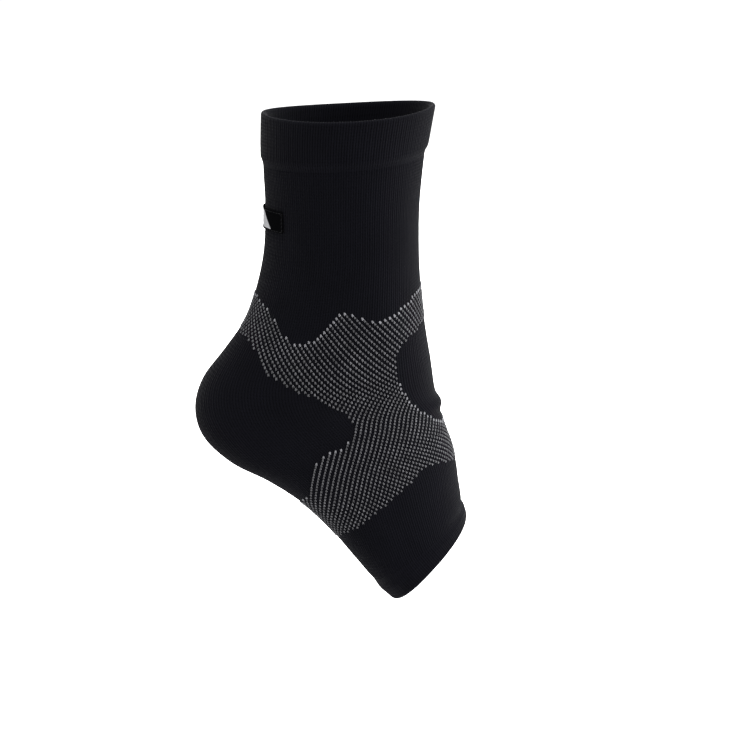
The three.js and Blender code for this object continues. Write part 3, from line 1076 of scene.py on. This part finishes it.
class SLEEVE_OT_set_stage(bpy.types.Operator):
    """Set the floor, the soft light and the camera"""
    bl_idname = "sleeve.set_stage"
    bl_label = "Set Stage"

    def execute(self, context):
        stage, colours = context.scene.sleeve_stage, context.scene.sleeve_colours
        self.floor(stage, colours)
        self.light(context.scene, stage)
        self.camera(context.scene, stage)
        return {"FINISHED"}

    @staticmethod
    def floor(stage, colours):
        deselect_all()
        bpy.ops.mesh.primitive_plane_add(size=stage.floor_size, location=(0, 0, stage.floor_level))
        bpy.ops.object.transform_apply(location=True, rotation=False, scale=False)
        floor = bpy.context.object
        name_piece(floor, "studio_floor")
        material, shader = new_material(
            "studio_floor", roughness=0.9, specular=0, sheen=0, sheen_roughness=0.5)
        shader.inputs["Base Color"].default_value = (*colours.floor, 1)
        floor.data.materials.append(material)
        floor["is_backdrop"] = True

    @staticmethod
    def aim(thing, way):
        thing.rotation_mode = "QUATERNION"
        thing.rotation_quaternion = way.to_track_quat("-Z", "Y")

    @classmethod
    def light(cls, scene, stage):
        world = bpy.data.worlds.new("studio")
        world.use_nodes = True
        background = world.node_tree.nodes["Background"]
        background.inputs["Color"].default_value = (1, 1, 1, 1)
        background.inputs["Strength"].default_value = stage.sky
        scene.world = world
        scene.view_settings.view_transform = "Standard"
        for name, place, size, watts in LAMPS:
            deselect_all()
            bpy.ops.object.light_add(type="AREA", location=place)
            lamp = bpy.context.object
            lamp.name = name
            lamp.data.size = size
            lamp.data.energy = watts
            cls.aim(lamp, -Vector(place))

    @classmethod
    def camera(cls, scene, stage):
        deselect_all()
        target = Vector(stage.target)
        back = Vector((0, -math.cos(stage.elevation), math.sin(stage.elevation)))
        bpy.ops.object.camera_add(location=target + back * stage.distance)
        camera = bpy.context.object
        camera.name = "photo_camera"
        cls.aim(camera, -back)
        camera.data.lens = stage.lens
        scene.camera = camera


class SLEEVE_PT_panel(bpy.types.Panel):
    """The sleeve's pieces and their settings"""
    bl_idname = "SLEEVE_PT_panel"
    bl_label = "Ankle Sleeve"
    bl_space_type = "VIEW_3D"
    bl_region_type = "UI"
    bl_category = "Sleeve"

    def draw(self, context):
        for operator in OPERATORS:
            self.layout.operator(operator.bl_idname)
        for name, kind in SETTINGS.items():
            box = self.layout.box()
            box.label(text=kind.__doc__)
            for setting in kind.__annotations__:
                box.prop(getattr(context.scene, name), setting)


SETTINGS = {
    "sleeve_knit": KnitSettings,
    "sleeve_welt": WeltSettings,
    "sleeve_stitch": StitchSettings,
    "sleeve_label": LabelSettings,
    "sleeve_colours": ColourSettings,
    "sleeve_stage": StageSettings,
}
OPERATORS = (
    SLEEVE_OT_knit_wall,
    SLEEVE_OT_turn_welts,
    SLEEVE_OT_set_grey_stitches,
    SLEEVE_OT_sew_label,
    SLEEVE_OT_set_stage,
)
CLASSES = (*SETTINGS.values(), *OPERATORS, SLEEVE_PT_panel)


def register():
    for made in CLASSES:
        bpy.utils.register_class(made)
    for name, group in SETTINGS.items():
        setattr(bpy.types.Scene, name, PointerProperty(type=group))


def unregister():
    for name in SETTINGS:
        delattr(bpy.types.Scene, name)
    for made in reversed(CLASSES):
        bpy.utils.unregister_class(made)


def main():
    register()
    bpy.ops.sleeve.knit_wall()
    bpy.ops.sleeve.turn_welts()
    bpy.ops.sleeve.set_grey_stitches()
    bpy.ops.sleeve.sew_label()
    bpy.ops.sleeve.set_stage()
    boxes = {"cad": CAD_BOX, "visual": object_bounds()}
    {name: [list(corner) for corner in box] for name, box in boxes.items()}


if __name__ == "__main__":
    main()
